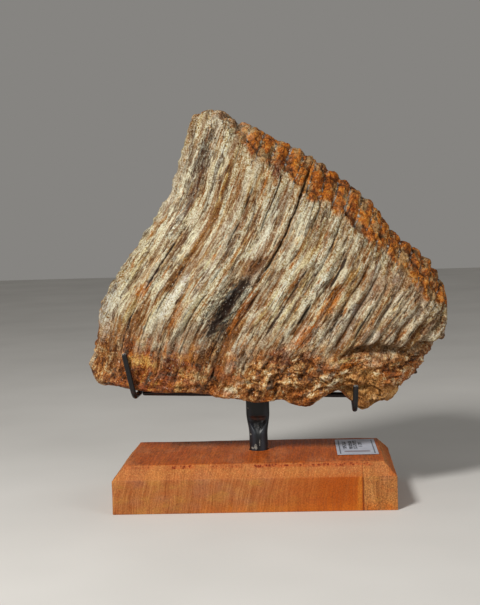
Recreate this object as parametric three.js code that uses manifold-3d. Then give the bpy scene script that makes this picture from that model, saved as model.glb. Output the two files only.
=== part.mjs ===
// A woolly mammoth cheek tooth in a wire cradle, on a short steel post that
// stands in a chamfered wooden block. Sizes are millimetres. The origin is the
// centre of the block's underside, with X to the viewer's right, Y away from
// the viewer and Z up.

import * as THREE from "three";
import { ConvexGeometry } from "three/addons/geometries/ConvexGeometry.js";
import { mergeVertices } from "three/addons/utils/BufferGeometryUtils.js";
import Module from "manifold-3d";

const GAP = 0.3; // air left round a piece where its neighbour is cut to fit it

const BLOCK = {
  length: 200, depth: 104, height: 33.5,
  edge: 24, // height of the upright sides, below the chamfer
  inset: 8.4, // how far the chamfer steps the top in
  joint: 76, glueLine: 0.2, // where the narrow stave is glued on
};

const LABEL = { width: 29.6, length: 57, thickness: 0.4, glue: 0.05, x: 73.8, y: 6.6, turn: 0.8 };

const POST = {
  x: 1.8, y: 6, sides: 18, bore: 22,
  foot: 6.8, // radius of the round tube
  neck: 45, // where the tube starts to widen and flatten
  top: 71.5, topWidth: 17.2, topDepth: 6,
  dent: 3.4, // how far the front of the flattened end is pressed in
};

const ROD = { radius: 1.95, sides: 8, bend: 7, step: 4.5 };
const BAR = { left: [-83.2, 6, 77.4], right: [70, 6, 72.6] };
const LEFT_PRONG = [[-91.6, -26, 111], [-85.2, -25, 79.2], [-85.5, 6, 77.6], [-86, 37, 79], [-90, 40, 108]];
const RIGHT_PRONG = [[73.4, -30, 85], [72.3, -29.5, 66], [72.4, 6, 72], [73, 44, 69.5], [73, 46, 88]];

// The tooth seen square on: its four edges, each from root to crest or from left to right.
const HIND_EDGE = [[-123, 100], [-116, 116], [-112, 138], [-99, 165], [-64, 212], [-51, 243], [-38, 280]];
const FORE_EDGE = [[94.5, 70.5], [117, 88], [128, 104], [139, 117], [142.5, 131]];
const CREST = [
  [-38, 280], [-27, 284], [-15, 282], [-6, 275], [4, 270], [22, 259.5], [41, 249.5],
  [58, 238], [87, 215], [103, 192], [121, 178], [134, 161], [141, 146], [142.5, 131],
];
const ROOTS = [
  [-123, 100], [-115, 86], [-100, 83], [-75, 78.5], [-40, 77.6], [-27, 74.2], [-13, 72.8], [4, 69.8],
  [19, 72.4], [28, 69], [39, 67], [50, 74.5], [61, 78], [69, 70], [77, 63], [94.5, 70.5],
];
const TOOTH = {
  middle: 6, halfThickness: 42,
  plates: 24, columns: 4, // enamel plates, and mesh columns on each
  underside: 4, wall: 12, chewing: 4, // mesh rows on each half of a ring
  ridge: 2.3, ridgeSpread: 1.6, // how far the plates stand out, and how much that varies
  lump: 1.5, lumpLength: 17, // knobs along each plate's worn top
  weathering: 1.0,
  rootLobe: 2.6,
  heel: 0.02, // how far up the underside rounds before the walls start, as a share of the crown
};
// Height of the front rim of the chewing surface, as a share of the crown, from left to right.
const FRONT_RIM = [[0, 0.965], [0.15, 0.947], [0.38, 0.867], [0.55, 0.812], [0.76, 0.768], [0.9, 0.8], [1, 0.9]];
const BACK_RIM = [[0, 0.965], [0.2, 0.955], [0.8, 0.93], [1, 0.92]];
// The furrow between the two rows of roots, over the cradle's bar: how deep it is from
// left to right, as a share of the crown, and half its width.
const FURROW = [[0, 0], [0.28, 0], [0.42, 0.06], [0.6, 0.07], [0.74, 0.09], [0.86, 0.09], [1, 0]];
const FURROW_REACH = 7;
// Deep clefts between plates: place across the plates, lowest and highest reach, depth.
const CLEFTS = [
  [0.385, 0.36, 0.95, 3.6], [0.355, 0.18, 0.5, 4.2], [0.125, 0.12, 0.8, 3.0],
  [0.552, 0.34, 0.5, 2.4], [0.595, 0.56, 0.72, 2.2],
];
const CLEFT_WIDTH = 0.011;
// The sunken line above the root at the right, and how deep and wide it is.
const ROOT_LINE = [[0.66, 0.33], [0.744, 0.363], [0.836, 0.417], [0.926, 0.56], [1, 0.7]];
const ROOT_GROOVE = { depth: 4.2, width: 0.035, start: 0.64, full: 0.76 };

const { lerp, clamp, smoothstep, degToRad } = THREE.MathUtils;

const wasm = await Module();
wasm.setup();

// A mesh with shared corners, as a solid that can be cut.
function solid(geometry) {
  const bare = geometry.clone();
  bare.deleteAttribute("normal");
  bare.deleteAttribute("uv");
  const merged = mergeVertices(bare);
  return new wasm.Manifold(new wasm.Mesh({
    numProp: 3,
    vertProperties: new Float32Array(merged.attributes.position.array),
    triVerts: new Uint32Array(merged.index.array),
  }));
}

function surface(manifold) {
  const mesh = manifold.getMesh();
  const geometry = new THREE.BufferGeometry();
  geometry.setAttribute("position", new THREE.BufferAttribute(mesh.vertProperties, 3));
  geometry.setIndex(new THREE.BufferAttribute(mesh.triVerts, 1));
  return geometry;
}

function piece(name, geometry, colour, roughness, metalness = 0) {
  const material = new THREE.MeshStandardMaterial({ color: colour, roughness, metalness });
  const mesh = new THREE.Mesh(geometry, material);
  mesh.name = name;
  return mesh;
}

// A skin over closed rings of equally many points. Both ends are closed by
// joining each point to the one opposite it, first to last.
function loft(rings) {
  const count = rings[0].length;
  const faces = [];
  const quad = (a, b, c, d) => faces.push(a, b, c, a, c, d);
  for (let r = 0; r + 1 < rings.length; r++) {
    for (let k = 0; k < count; k++) {
      const next = (k + 1) % count;
      quad(r * count + k, r * count + next, (r + 1) * count + next, (r + 1) * count + k);
    }
  }
  const last = (rings.length - 1) * count;
  for (let k = 0; k < count / 2 - 1; k++) {
    const opposite = count - 1 - k;
    quad(k + 1, k, opposite, opposite - 1);
    quad(last + k, last + k + 1, last + opposite - 1, last + opposite);
  }
  const geometry = new THREE.BufferGeometry();
  geometry.setAttribute("position", new THREE.Float32BufferAttribute(rings.flat(2), 3));
  geometry.setIndex(faces);
  return geometry;
}

// The block: two staves glued end to end, chamfered together.

function stave(left, right, leftInset, rightInset) {
  const half = BLOCK.depth / 2;
  const corners = [];
  for (const side of [-1, 1]) {
    for (const x of [left, right]) {
      corners.push(new THREE.Vector3(x, side * half, 0), new THREE.Vector3(x, side * half, BLOCK.edge));
    }
    const y = side * (half - BLOCK.inset);
    corners.push(new THREE.Vector3(left + leftInset, y, BLOCK.height));
    corners.push(new THREE.Vector3(right - rightInset, y, BLOCK.height));
  }
  return new ConvexGeometry(corners);
}

function wideStave() {
  const body = stave(-BLOCK.length / 2, BLOCK.joint, BLOCK.inset, 0);
  const depth = POST.bore + GAP;
  const bore = new THREE.CylinderGeometry(POST.foot + 2 * GAP, POST.foot + 2 * GAP, 2 * depth, POST.sides);
  bore.rotateX(Math.PI / 2);
  bore.translate(POST.x, POST.y, BLOCK.height);
  return surface(solid(body).subtract(solid(bore)));
}

function narrowStave() {
  return stave(BLOCK.joint + BLOCK.glueLine, BLOCK.length / 2, 0, BLOCK.inset);
}

function label() {
  const sheet = piece("label", new THREE.BoxGeometry(LABEL.width, LABEL.length, LABEL.thickness), 0xe4e2de, 0.7);
  sheet.position.set(LABEL.x, LABEL.y, BLOCK.height + LABEL.glue + LABEL.thickness / 2);
  sheet.rotation.z = degToRad(LABEL.turn);
  return sheet;
}

// The post: a round tube whose upper end is spread, flattened and dished in front.

function postRing(z) {
  const flat = smoothstep(z, POST.neck, POST.neck + 16);
  const dish = POST.dent * smoothstep(z, POST.neck + 2, POST.neck + 13);
  const width = lerp(POST.foot, POST.topWidth / 2, flat);
  const depth = lerp(POST.foot, POST.topDepth / 2, flat);
  const ring = [];
  for (let k = 0; k < POST.sides; k++) {
    const angle = Math.PI * (1 + (2 * k + 1) / POST.sides);
    const x = Math.cos(angle);
    const y = Math.sin(angle);
    const pressed = y < 0 ? dish * (1 - x * x) ** 2 : 0;
    ring.push([POST.x + width * x, POST.y + depth * y + pressed, z]);
  }
  return ring;
}

function post() {
  const levels = [BLOCK.height - POST.bore, POST.neck];
  for (let z = POST.neck + 2.5; z < POST.neck + 18; z += 2.5) levels.push(z);
  levels.push(POST.top);
  return loft(levels.map(postRing));
}

// The cradle: round rod, bent cold.

function rod(points, radius) {
  const corners = points.map((p) => new THREE.Vector3(...p));
  const path = new THREE.CurvePath();
  let from = corners[0];
  for (let i = 1; i + 1 < corners.length; i++) {
    const before = corners[i].clone().sub(corners[i - 1]).setLength(ROD.bend);
    const after = corners[i + 1].clone().sub(corners[i]).setLength(ROD.bend);
    const start = corners[i].clone().sub(before);
    const end = corners[i].clone().add(after);
    path.add(new THREE.LineCurve3(from, start));
    path.add(new THREE.QuadraticBezierCurve3(start, corners[i], end));
    from = end;
  }
  path.add(new THREE.LineCurve3(from, corners.at(-1)));
  const section = new THREE.Shape();
  for (let k = 0; k < ROD.sides; k++) {
    const angle = 2 * Math.PI * k / ROD.sides;
    const place = [radius * Math.cos(angle), radius * Math.sin(angle)];
    if (k === 0) section.moveTo(...place);
    else section.lineTo(...place);
  }
  section.closePath();
  const steps = points.length > 2 ? Math.round(path.getLength() / ROD.step) : 1;
  return new THREE.ExtrudeGeometry(section, { steps, extrudePath: path });
}

const bar = (radius) => rod([BAR.left, BAR.right], radius);

// The tooth. A place on it is given by two shares: across, 0 at the left edge
// to 1 at the right, and up, 0 at the root to 1 at the crest. The enamel plates
// are lines of equal across.

const edge = (points) => new THREE.SplineCurve(points.map(([x, z]) => new THREE.Vector2(x, z)));
const edges = { hind: edge(HIND_EDGE), fore: edge(FORE_EDGE), crest: edge(CREST), roots: edge(ROOTS) };
const corner = {
  hindRoot: HIND_EDGE[0], hindCrest: CREST[0], foreRoot: FORE_EDGE[0], foreCrest: CREST.at(-1),
};

function middlePlane(across, up) {
  const hind = edges.hind.getPointAt(up);
  const fore = edges.fore.getPointAt(up);
  const roots = edges.roots.getPointAt(across);
  const crest = edges.crest.getPointAt(across);
  const blend = (low, high, left, right, axis) =>
    lerp(low, high, up) + lerp(left, right, across)
    - lerp(
      lerp(corner.hindRoot[axis], corner.foreRoot[axis], across),
      lerp(corner.hindCrest[axis], corner.foreCrest[axis], across),
      up,
    );
  return [blend(roots.x, crest.x, hind.x, fore.x, 0), blend(roots.y, crest.y, hind.y, fore.y, 1)];
}

// Reads a value off a line of [place, value] points.
function along(points, place) {
  const next = clamp(points.findIndex(([x]) => x >= place), 1, points.length - 1);
  const [x0, y0] = points[next - 1];
  const [x1, y1] = points[next];
  return lerp(y0, y1, smoothstep(place, x0, x1));
}

// A repeatable value from 0 to 1 for whole numbers a and b, and a smooth field between them.
function chance(a, b = 0) {
  const value = Math.sin(a * 127.1 + b * 311.7) * 43758.5453;
  return value - Math.floor(value);
}

function field(x, y) {
  const [column, row] = [Math.floor(x), Math.floor(y)];
  const [fx, fy] = [smoothstep(x - column, 0, 1), smoothstep(y - row, 0, 1)];
  const low = lerp(chance(column, row), chance(column + 1, row), fx);
  const high = lerp(chance(column, row + 1), chance(column + 1, row + 1), fx);
  return 2 * lerp(low, high, fy) - 1;
}

function thickness(across, up) {
  const ends = Math.sqrt(1 - Math.abs(2 * across - 1) ** 2.8);
  const low = Math.max(0, 1 - up / 0.35);
  const high = Math.max(0, (up - 0.35) / 0.65);
  return TOOTH.halfThickness * ends * (1 - 0.34 * low ** 2.4 - 0.1 * high ** 2);
}

// How high the plate under a place stands between the seams on its two sides, 0 to 1.
function plate(across) {
  return Math.abs(Math.sin(Math.PI * across * TOOTH.plates)) ** 0.8;
}

function plateNumber(across) {
  return Math.floor(across * TOOTH.plates);
}

// How far the wall stands out from its smooth form, side by side with its thickness.
function relief(across, up, side) {
  const height = TOOTH.ridge + TOOTH.ridgeSpread * (2 * chance(plateNumber(across), side) - 1);
  let out = (height * plate(across) - TOOTH.ridge / 2) * lerp(0.25, 1, smoothstep(up, 0.08, 0.28));
  out += TOOTH.weathering * field(across * 25, up * 9 + 20 * side);
  out += TOOTH.rootLobe * field(across * 9, up * 5 + 40 + side) * (1 - smoothstep(up, 0.1, 0.3));
  for (const [place, low, high, depth] of CLEFTS) {
    const reach = smoothstep(up, low - 0.06, low) * (1 - smoothstep(up, high, high + 0.05));
    const facing = side < 0 ? 1 : 0.5;
    out -= facing * depth * reach * Math.exp(-(((across - place) / CLEFT_WIDTH) ** 2));
  }
  const sunk = (up - along(ROOT_LINE, across)) / ROOT_GROOVE.width;
  const groove = smoothstep(across, ROOT_GROOVE.start, ROOT_GROOVE.full) * Math.exp(-(sunk ** 2));
  return out - ROOT_GROOVE.depth * groove;
}

// Half of one ring round the tooth, from the middle of the underside up one
// wall and over the chewing surface to its highest line.
function halfRing(across, side) {
  const points = [];
  const [halfwayX, halfwayZ] = middlePlane(across, 0.5);
  const [topX, topZ] = middlePlane(across, 1);
  const length = Math.hypot(topX - halfwayX, topZ - halfwayZ);
  const add = (out, up, raised = 0) => {
    const [x, z] = middlePlane(across, clamp(up, 0, 1));
    const share = raised / length;
    points.push([x + share * (topX - halfwayX), TOOTH.middle + out, z + share * (topZ - halfwayZ)]);
  };
  const ends = thickness(across, 0.35) / TOOTH.halfThickness;
  const foot = thickness(across, 0);
  for (let i = 0; i < TOOTH.underside; i++) {
    const share = ((i + 0.5) / TOOTH.underside) ** 1.3;
    const furrow = along(FURROW, across) * Math.exp(-((share * foot / FURROW_REACH) ** 4));
    const pit = 0.008 * field(across * 14, side * share * 3 + 7) * (1 - share);
    add(side * share * foot, TOOTH.heel * share ** 2 + (furrow + pit) * ends);
  }
  const rim = along(side < 0 ? FRONT_RIM : BACK_RIM, across);
  for (let i = 0; i <= TOOTH.wall; i++) {
    const up = lerp(TOOTH.heel, rim, i / TOOTH.wall);
    const full = smoothstep(i, 0, 1.5) * ends;
    add(side * (thickness(across, up) + full * relief(across, up, side)), up);
  }
  const crestLine = 0.22 * thickness(across, 1);
  const brink = side * (thickness(across, rim) + ends * relief(across, rim, side));
  for (let i = 1; i <= TOOTH.chewing; i++) {
    const share = (i - 0.25) / TOOTH.chewing;
    const out = lerp(brink, crestLine, share);
    const knob = Math.cos(2 * Math.PI * (out / TOOTH.lumpLength + plateNumber(across) / 2));
    const lump = TOOTH.lump * ends * (plate(across) - 0.5) * (1 + 0.4 * knob);
    add(out, lerp(rim, 1, 1 - (1 - share) ** 1.5), lump);
  }
  return points;
}

function molar() {
  const rings = [];
  const count = TOOTH.plates * TOOTH.columns;
  for (let i = 0; i <= count; i++) {
    const across = clamp(i / count, 0.2 / count, 1 - 0.2 / count);
    rings.push([...halfRing(across, 1), ...halfRing(across, -1).reverse()]);
  }
  let tooth = solid(loft(rings));
  const room = ROD.radius + GAP;
  for (const shape of [bar(room), rod(LEFT_PRONG, room), rod(RIGHT_PRONG, room)]) {
    tooth = tooth.subtract(solid(shape));
  }
  return surface(tooth);
}

const stand = new THREE.Group();
stand.add(
  piece("wide_stave", wideStave(), 0xb5673c, 0.6),
  piece("narrow_stave", narrowStave(), 0xb0633a, 0.6),
  label(),
  piece("post", post(), 0x23272a, 0.4, 0.5),
  piece("cradle_bar", bar(ROD.radius), 0x1b1b1c, 0.5, 0.5),
  piece("left_prong", rod(LEFT_PRONG, ROD.radius), 0x1b1b1c, 0.5, 0.5),
  piece("right_prong", rod(RIGHT_PRONG, ROD.radius), 0x1b1b1c, 0.5, 0.5),
);

const group = new THREE.Group();
group.add(stand, piece("molar", molar(), 0xb9996c, 0.8));

export default group;
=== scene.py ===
"""A woolly mammoth molar held crown up in a bent wire cradle, on a pressed steel post
that stands in a chamfered wooden block. Lengths are metres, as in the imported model."""

import math

import bmesh
import bpy
import numpy as np
from mathutils import Matrix, Vector, noise


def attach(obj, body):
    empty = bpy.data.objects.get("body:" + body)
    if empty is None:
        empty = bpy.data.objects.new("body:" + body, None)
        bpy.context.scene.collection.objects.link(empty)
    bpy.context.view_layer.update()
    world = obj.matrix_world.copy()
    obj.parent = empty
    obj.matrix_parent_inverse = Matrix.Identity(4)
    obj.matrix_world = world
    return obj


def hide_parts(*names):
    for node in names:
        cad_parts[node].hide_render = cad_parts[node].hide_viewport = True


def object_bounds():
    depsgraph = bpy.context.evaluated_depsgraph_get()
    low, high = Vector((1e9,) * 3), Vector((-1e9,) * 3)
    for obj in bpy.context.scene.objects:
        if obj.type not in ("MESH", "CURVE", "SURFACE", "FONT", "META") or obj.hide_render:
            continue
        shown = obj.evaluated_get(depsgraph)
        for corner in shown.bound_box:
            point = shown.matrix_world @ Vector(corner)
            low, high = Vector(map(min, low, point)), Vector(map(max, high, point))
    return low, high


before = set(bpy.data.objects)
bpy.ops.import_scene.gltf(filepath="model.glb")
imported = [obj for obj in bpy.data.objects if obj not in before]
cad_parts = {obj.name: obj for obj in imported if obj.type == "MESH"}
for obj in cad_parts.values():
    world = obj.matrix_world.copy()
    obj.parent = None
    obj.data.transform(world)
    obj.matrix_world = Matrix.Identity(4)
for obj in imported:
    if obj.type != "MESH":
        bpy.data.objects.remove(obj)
cad_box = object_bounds()
MM = 0.001


# The block's wide stave: reddish hardwood with its rings nearly upright in the front.
# It is sawn square, chamfered with a coarse saw, rubbed with oil, and bored for the post.

BLOCK_LENGTH, BLOCK_DEPTH, BLOCK_HEIGHT = 200 * MM, 104 * MM, 33.5 * MM
CHAMFER_FOOT = 24 * MM  # height at which the upright sides end
CHAMFER_INSET = 8.4 * MM
JOINT, GLUE_LINE = 76 * MM, 0.2 * MM
ARRIS = 0.7 * MM  # rounding of the block's edges
SCORCHES = [  # along the front chamfer in millimetres: middle, reach to each side, heat
    (-84, 12, 0.35), (-50, 9, 0.9), (-20, 12, 0.5), (13, 14, 0.95), (55, 28, 0.85),
]
POST_X, POST_Y = 1.8 * MM, 6 * MM
BORE_RADIUS, BORE_DEPTH = 7.4 * MM, 22.3 * MM


class Amount:
    """A number, vector or colour on its way through a node tree, so finishes read as sums."""

    def __init__(self, tree, socket):
        self.tree, self.socket = tree, socket

    def maths(self, operation, *others):
        return node(self.tree, "ShaderNodeMath", dict(enumerate((self, *others))), operation=operation)

    def __add__(self, other):
        return self.maths("ADD", other)

    def __sub__(self, other):
        return self.maths("SUBTRACT", other)

    def __mul__(self, other):
        return self.maths("MULTIPLY", other)

    def __rsub__(self, other):
        return self.maths("MULTIPLY_ADD", -1, other)

    def __pow__(self, other):
        return self.maths("POWER", other)

    __radd__, __rmul__ = __add__, __mul__

    def size(self):
        return self.maths("ABSOLUTE")

    def clipped(self):
        return self.maths("MINIMUM", 1).maths("MAXIMUM", 0)

    def rise(self, low, high, start=0, end=1):
        """Goes smoothly from start to end as the number goes from low to high."""
        sockets = {0: self, 1: low, 2: high, 3: start, 4: end}
        return node(self.tree, "ShaderNodeMapRange", sockets, interpolation_type="SMOOTHSTEP")

    def bell(self, width):
        """1 where the number is 0, and less and less away from it."""
        return (self * (1 / width)).maths("POWER", 2).maths("MULTIPLY", -1).maths("EXPONENT")

    def parts(self):
        split = self.tree.nodes.new("ShaderNodeSeparateXYZ")
        self.tree.links.new(self.socket, split.inputs[0])
        return [Amount(self.tree, out) for out in split.outputs]

    def scaled(self, x, y, z, shift=0):
        """The vector stretched on each axis and moved by shift, for a pattern of its own."""
        sockets = {0: self, 1: (x, y, z), 2: (shift, 1.7 * shift, 0.6 * shift)}
        return node(self.tree, "ShaderNodeVectorMath", sockets, operation="MULTIPLY_ADD")

    def over(self, x, y, z, shift=0):
        """The vector measured in steps of x, y and z, for a pattern whose spots have that size."""
        return self.scaled(1 / x, 1 / y, 1 / z, shift)

    def distance(self, point):
        return node(self.tree, "ShaderNodeVectorMath", {0: self, 1: point}, out=1, operation="DISTANCE")

    def grain(self, detail=2, roughness=0.5, distortion=0):
        """Cloudy noise from 0 to 1, one cloud to each unit of the vector."""
        sockets = {"Vector": self, "Scale": 1, "Detail": detail, "Roughness": roughness}
        return node(self.tree, "ShaderNodeTexNoise", {**sockets, "Distortion": distortion})

    def cells(self, randomness=1):
        """How far the nearest of many scattered points is, with one point to each unit."""
        return node(self.tree, "ShaderNodeTexVoronoi", {"Vector": self, "Scale": 1, "Randomness": randomness})

    def under(self, coat, amount, blend="MIX"):
        """This colour with another laid over it, as thick as amount."""
        sockets = {0: amount, 6: self, 7: coat}
        return node(self.tree, "ShaderNodeMix", sockets, out=2, data_type="RGBA", blend_type=blend)

    def shades(self, *stops):
        """The number as a colour, from a row of (number, colour) stops."""
        made = self.tree.nodes.new("ShaderNodeValToRGB")
        self.tree.links.new(self.socket, made.inputs[0])
        ramp = made.color_ramp
        while len(ramp.elements) < len(stops):
            ramp.elements.new(1)
        for element, (place, colour) in zip(ramp.elements, stops):
            element.position, element.color = place, colour
        return Amount(self.tree, made.outputs[0])


def node(tree, kind, sockets, out=0, **options):
    """Adds a node, sets its options, feeds its inputs by number or name and gives an output."""
    made = tree.nodes.new(kind)
    for option, value in options.items():
        setattr(made, option, value)
    for place, value in sockets.items():
        if isinstance(value, Amount):
            tree.links.new(value.socket, made.inputs[place])
        else:
            made.inputs[place].default_value = value
    return Amount(tree, made.outputs[out])


def vector(x, y, z):
    tree = next(part.tree for part in (x, y, z) if isinstance(part, Amount))
    return node(tree, "ShaderNodeCombineXYZ", {0: x, 1: y, 2: z})


def paint(code):
    """A colour from its web code, as light strengths."""
    shares = [int(code[i:i + 2], 16) / 255 for i in (0, 2, 4)]
    return (*[s / 12.92 if s < 0.04045 else ((s + 0.055) / 1.055) ** 2.4 for s in shares], 1)


class Finish:
    """A material under way: its tree, its shader and where on the object it is, in millimetres."""

    def __init__(self, name):
        self.material = bpy.data.materials.new(name)
        self.material.use_nodes = True
        self.tree = self.material.node_tree
        self.shader = self.tree.nodes["Principled BSDF"]
        self.place = node(self.tree, "ShaderNodeTexCoord", {}, out=3).scaled(1000, 1000, 1000)

    def told(self, name, out=2):
        """What the mesh tells about itself under this name."""
        return node(self.tree, "ShaderNodeAttribute", {}, out=out, attribute_name=name)

    def done(self, colour, roughness, height, depth, **constants):
        """Ends the finish. height goes from 0 to 1, and depth is what that is in metres."""
        self.tree.links.new(colour.socket, self.shader.inputs["Base Color"])
        self.tree.links.new(roughness.socket, self.shader.inputs["Roughness"])
        bump = node(self.tree, "ShaderNodeBump", {"Height": height, "Distance": depth, "Strength": 1})
        self.tree.links.new(bump.socket, self.shader.inputs["Normal"])
        for name, value in constants.items():
            self.shader.inputs[name].default_value = value
        return self.material


def oiled_wood(name, pale, deep, glow, lean, orange_from, dots, pore_depth):
    """Red hardwood: rings leaning by lean, redder to the right of orange_from, dotted with pores."""
    wood = Finish(name)
    x, y, z = wood.place.parts()
    foot, brow = CHAMFER_FOOT / MM, BLOCK_HEIGHT / MM
    front_arris, end = (BLOCK_DEPTH / 2 - CHAMFER_INSET) / MM, BLOCK_LENGTH / 2 / MM

    # The rings, seen as lines on every face, and the clouds and pores across them.
    sway = (wood.place.over(40, 90, 40).grain(1) - 0.5) * 9
    ring = x - z * lean + sway
    rings = vector(ring, y, z)
    lines = rings.over(1.1, 60, 30).grain(3, 0.65)
    bands = rings.over(8, 120, 90, 30).grain(3, 0.6)
    clouds = wood.place.over(22, 35, 16, 11).grain(2)
    pores = wood.place.over(0.6, 12, 0.9, 5).grain(2, 0.6)
    patches = wood.place.over(16, 30, 9, 27).grain(3, 0.6)
    strip_sway = wood.place.over(9, 40, 9, 61).grain(2)
    needles = rings.over(0.6, 60, 14, 22).grain(2, 0.6) - 0.5
    tone = (lines - 0.5) * 0.9 + (bands - 0.5) * 0.45 + needles * 0.5 + 0.5
    colour = tone.shades((0.25, deep), (0.5, pale), (0.78, glow))
    colour = colour.under(paint("b88a44"), patches.rise(0.5, 0.64, 0, 0.3))
    colour = colour.under(paint("9a4c22"), patches.rise(0.5, 0.36, 0, 0.3))
    colour = colour.under(paint("9a6a58"), clouds.rise(0.48, 0.7, 0, 0.35))
    orange = ring.rise(orange_from - 75, orange_from + 4, 0, 1) * z.rise(foot, foot + 4, 1, 0.3)
    colour = colour.under(paint("a34c00"), orange * lines.rise(0.3, 0.6, 0.7, 0.95))
    beside_joint = x - JOINT / MM + 2.4 - (z - foot / 2) * 0.07 + (strip_sway - 0.5) * 3
    sapwood = beside_joint.bell(2.0) * z.rise(foot - 1, foot + 2, 1, 0)
    colour = colour.under(paint("cc8630"), sapwood * lines.rise(0.35, 0.6, 0.65, 0.3))

    # The top is darker, the chamfer rough from the saw and scorched along its upper edge.
    above = z.rise(brow - 1, brow - 0.2)
    colour = colour.under(paint("a84c08"), above * 0.72)
    colour = colour.under(paint("b9764a"), above * clouds.rise(0.5, 0.66, 0, 0.4))
    sawn = z.rise(foot - 0.3, foot + 0.5) * z.rise(brow - 0.8, brow - 0.2, 1, 0)
    teeth = vector(x, y, z).over(0.7, 0.7, 3.5, 3).grain(3, 0.7)
    colour = colour.under(paint("b56d3c"), sawn * 0.5)
    colour = colour.under(paint("cd9860"), sawn * teeth.rise(0.48, 0.7, 0, 0.7))
    edge_sway = (wood.place.over(5, 1, 1).grain(2) - 0.5) * 3
    scorch = (y + front_arris + 1.1 + edge_sway).bell(0.9) * z.rise(foot + 4, foot + 7)
    hot = sum((x - middle).size().rise(reach + 3, reach - 3, 0, heat) for middle, reach, heat in SCORCHES)
    spots = vector(x, z, 0).over(1.7, 1.9, 1).cells().rise(0.32, 0.58, 1, 0)
    colour = colour.under(paint("ae4a1e"), scorch * hot * 0.55).under(paint("6e220e"), scorch * spots * hot)
    # Painted shade: within a few millimetres of the right end, above the chamfer foot, the wood is darker and
    # redder, for the right-side chamfer lying in shade.
    colour = colour.under(paint("b0581c"), x.rise(end - 8, end - 3, 0, 0.55) * z.rise(foot - 1, foot + 1))

    # Pores, a warm glow low in front, glue that has soaked in at the joint, and dirt.
    colour = colour.under(paint("5e2e14"), pores.rise(0.56, 0.7, 0, 0.3))
    low_glow = z.rise(10, 1, 0, 0.55) * x.rise(-60, -20) * bands.rise(0.35, 0.6, 0.3, 1)
    colour = colour.under(paint("c06a18"), low_glow)
    stained = (x - JOINT / MM).bell(0.7) * z.rise(foot - 1, foot + 1, 1, 0)
    colour = colour.under(paint("6e2608"), stained * 0.75)
    grime = wood.place.over(3, 3, 3, 8).grain(4, 0.6).rise(0.55, 0.8, 0, 0.2)
    colour = colour.under(paint("5a3420"), grime * z.rise(0, 6, 1, 0.4))
    flecks = wood.place.over(1.1, 6, 1.1, 15).grain(2, 0.7) - 0.5
    strips = wood.place.over(3.5, 30, 12, 18).grain(3, 0.6) - 0.5
    dotted = flecks * (sawn * 0.6 + above * 1.2 + dots * (1 - above * 0.7 - sawn * 0.6))
    tint = dotted + needles * 0.5 + strips * (above * 0.9 + sawn * 0.6) + 1
    colour = colour.under(vector(tint * 0.94, tint * 0.85, tint * 0.7), 1, "MULTIPLY")
    roughness = lines.rise(0.3, 0.7, 0.45, 0.62) + sawn * 0.25
    height = lines * 0.35 + pores.rise(0.5, 0.75, 0.35, 0) + sawn * teeth * 1.6
    return wood.done(colour, roughness, height, pore_depth, **{"Specular IOR Level": 0.2})


def stave(name, left, right, left_inset, right_inset):
    """A length of the block, its edges worn except where it is glued to the next one."""
    half = BLOCK_DEPTH / 2
    mesh = bmesh.new()
    for side in (-1, 1):
        for x, inset in ((left, left_inset), (right, -right_inset)):
            mesh.verts.new((x, side * half, 0))
            mesh.verts.new((x, side * half, CHAMFER_FOOT))
            mesh.verts.new((x + inset, side * (half - CHAMFER_INSET), BLOCK_HEIGHT))
    bmesh.ops.convex_hull(mesh, input=mesh.verts[:])
    bmesh.ops.dissolve_limit(mesh, angle_limit=0.02, verts=mesh.verts[:], edges=mesh.edges[:])
    worn = []
    for edge in mesh.edges:
        one, other = (corner.co.x for corner in edge.verts)
        if one != other or abs(one) > JOINT + MM:
            worn.append(edge)
    bmesh.ops.bevel(mesh, geom=worn, offset=ARRIS, segments=2, profile=0.5, affect="EDGES")
    bmesh.ops.recalc_face_normals(mesh, faces=mesh.faces[:])
    return kept(name, mesh)


def placed(name, data):
    """Finished mesh data as an object in the scene."""
    piece = bpy.data.objects.new(name, data)
    bpy.context.scene.collection.objects.link(piece)
    return piece


def kept(name, mesh):
    """A mesh under work as an object in the scene."""
    data = bpy.data.meshes.new(name)
    mesh.to_mesh(data)
    mesh.free()
    return placed(name, data)


def settled(piece):
    """Applies the piece's modifiers, so that a plain mesh is left."""
    bpy.context.view_layer.update()
    evaluated = piece.evaluated_get(bpy.context.evaluated_depsgraph_get())
    data = bpy.data.meshes.new_from_object(evaluated)
    piece.modifiers.clear()
    piece.data = data


def bored(piece, x, y, top, depth, radius, sides=64):
    """Drills a blind hole down from the top."""
    drill = bmesh.new()
    mouth = Matrix.Translation((x, y, top))
    sizes = {"radius1": radius, "radius2": radius, "depth": 2 * depth}
    bmesh.ops.create_cone(drill, cap_ends=True, segments=sides, matrix=mouth, **sizes)
    cutter = kept("drill", drill)
    hole = piece.modifiers.new("hole", "BOOLEAN")
    hole.object, hole.operation, hole.solver = cutter, "DIFFERENCE", "EXACT"
    settled(piece)
    bpy.data.objects.remove(cutter)


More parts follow.
